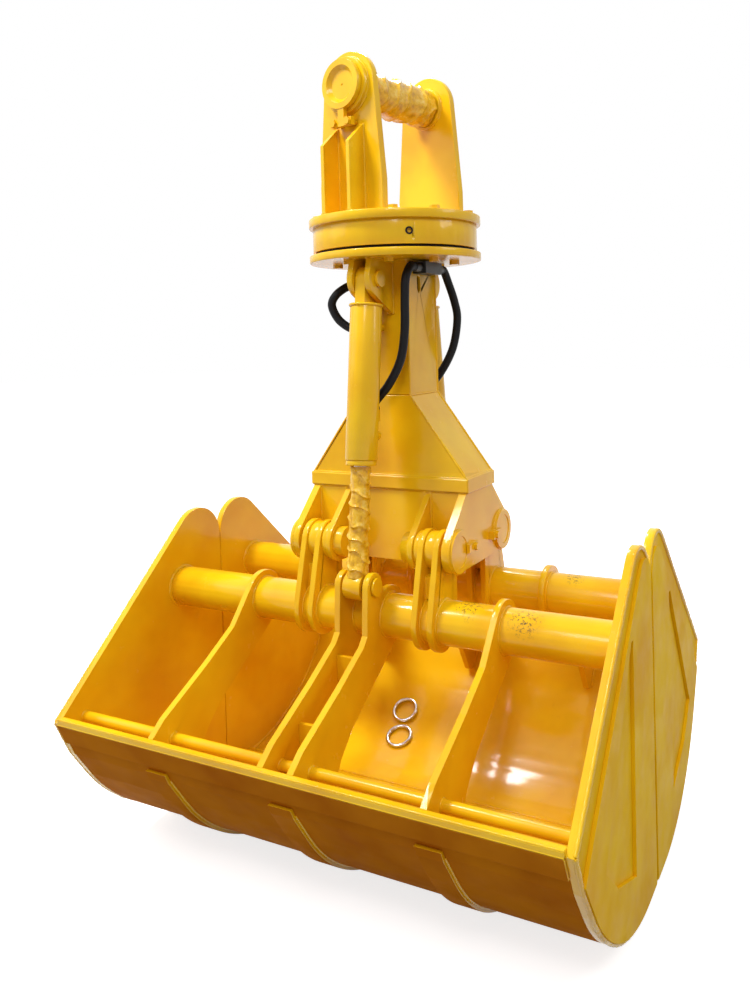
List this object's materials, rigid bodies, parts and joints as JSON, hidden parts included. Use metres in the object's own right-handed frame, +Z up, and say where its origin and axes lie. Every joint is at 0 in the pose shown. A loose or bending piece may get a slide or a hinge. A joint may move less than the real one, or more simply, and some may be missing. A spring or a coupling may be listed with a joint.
{
  "type": "clamshell bucket",
  "caption": "Clamshell bucket on a slewing head, with a jaw to each side that its own cylinder opens and shuts.",
  "frame": {"origin": "middle of the arm pin, between the hanger's ears", "axes": "+Z up along the slewing axis, X along the jaws' hinges, Y the way the jaws open, and the front jaw on -Y"},
  "size_m": [1.316, 1.2176, 2.0284],
  "materials": {
    "paint": "gloss",
    "steel": "satin",
    "chrome": "polished",
    "rubber": "matt"
  },
  "bodies": {
    "hanger": {"hanger_base_plate": "paint", "hanger_ears": "paint", "ear_ribs": "paint", "slewing_outer_ring": "paint", "ring_bolts": "paint", "swivel_spool": "steel"},
    "arm_pin": {"arm_pin": "steel", "arm_pin_keeper": "paint"},
    "carrier": {"slewing_inner_ring": "steel", "slewing_balls": "steel", "slewing_seal": "rubber", "lower_flange": "paint", "lower_flange_bolts": "paint", "swivel_housing": "steel", "mast_column": "paint", "mast_skirt": "paint", "hinge_box": "paint", "end_plates": "paint", "hinge_gussets": "paint", "hinge_pins": "paint", "hinge_pin_keepers": "paint", "cylinder_clevises": "paint", "cylinder_top_pins": "steel", "hose_manifolds": "steel", "front_cap_hose": "rubber", "front_rod_hose": "rubber", "back_cap_hose": "rubber", "back_rod_hose": "rubber"},
    "front_jaw": {"front_bowl_sheet": "paint", "front_side_plates": "paint", "front_side_overlays": "paint", "front_rim_bars": "paint", "front_cutting_edge": "paint", "front_ribs": "paint", "front_lever_plates": "paint", "front_cross_tube": "paint", "front_spreader_bar": "paint", "front_hinge_arms": "paint", "front_wear_straps": "paint", "front_lever_pin": "steel"},
    "front_barrel": {"front_barrel": "paint", "front_gland": "paint"},
    "front_rod": {"front_piston": "steel", "front_rod": "chrome"},
    "back_jaw": {"back_bowl_sheet": "paint", "back_side_plates": "paint", "back_side_overlays": "paint", "back_rim_bars": "paint", "back_cutting_edge": "paint", "back_ribs": "paint", "back_lever_plates": "paint", "back_cross_tube": "paint", "back_spreader_bar": "paint", "back_hinge_arms": "paint", "back_wear_straps": "paint", "back_lever_pin": "steel"},
    "back_barrel": {"back_barrel": "paint", "back_gland": "paint"},
    "back_rod": {"back_piston": "steel", "back_rod": "chrome"}
  },
  "joints": [
    {"name": "slewing", "type": "hinge", "parent": "hanger", "child": "carrier", "pos_m": [0, 0, -0.3745], "axis": [0, 0, 1], "continuous": true},
    {"name": "arm_pin_slide", "type": "slide", "parent": "hanger", "child": "arm_pin", "axis": [-0.2079, -0.9781, 0], "range_m": [0, 0.75]},
    {"name": "front_jaw_hinge", "type": "hinge", "parent": "carrier", "child": "front_jaw", "pos_m": [0, -0.138, -1.156], "axis": [-1, 0, 0], "range_deg": [0, 50]},
    {"name": "front_barrel_swing", "type": "hinge", "parent": "carrier", "child": "front_barrel", "pos_m": [0, -0.152, -0.485], "axis": [-1, 0, 0], "range_deg": [0, 3.3]},
    {"name": "front_rod_slide", "type": "slide", "parent": "front_barrel", "child": "front_rod", "axis": [0, 0.1161, 0.9932], "range_m": [0, 0.0985]},
    {"name": "back_jaw_hinge", "type": "hinge", "parent": "carrier", "child": "back_jaw", "pos_m": [0, 0.138, -1.156], "axis": [1, 0, 0], "range_deg": [0, 50]},
    {"name": "back_barrel_swing", "type": "hinge", "parent": "carrier", "child": "back_barrel", "pos_m": [0, 0.152, -0.485], "axis": [1, 0, 0], "range_deg": [0, 3.3]},
    {"name": "back_rod_slide", "type": "slide", "parent": "back_barrel", "child": "back_rod", "axis": [0, -0.1161, 0.9932], "range_m": [0, 0.0985]}
  ],
  "couplings": [
    {"joint": "front_barrel_swing", "follows": "front_jaw_hinge", "ratio": 0.06584},
    {"joint": "front_rod_slide", "follows": "front_jaw_hinge", "m_per_rad": 0.11261},
    {"joint": "back_barrel_swing", "follows": "back_jaw_hinge", "ratio": 0.06584},
    {"joint": "back_rod_slide", "follows": "back_jaw_hinge", "m_per_rad": 0.11261}
  ]
}
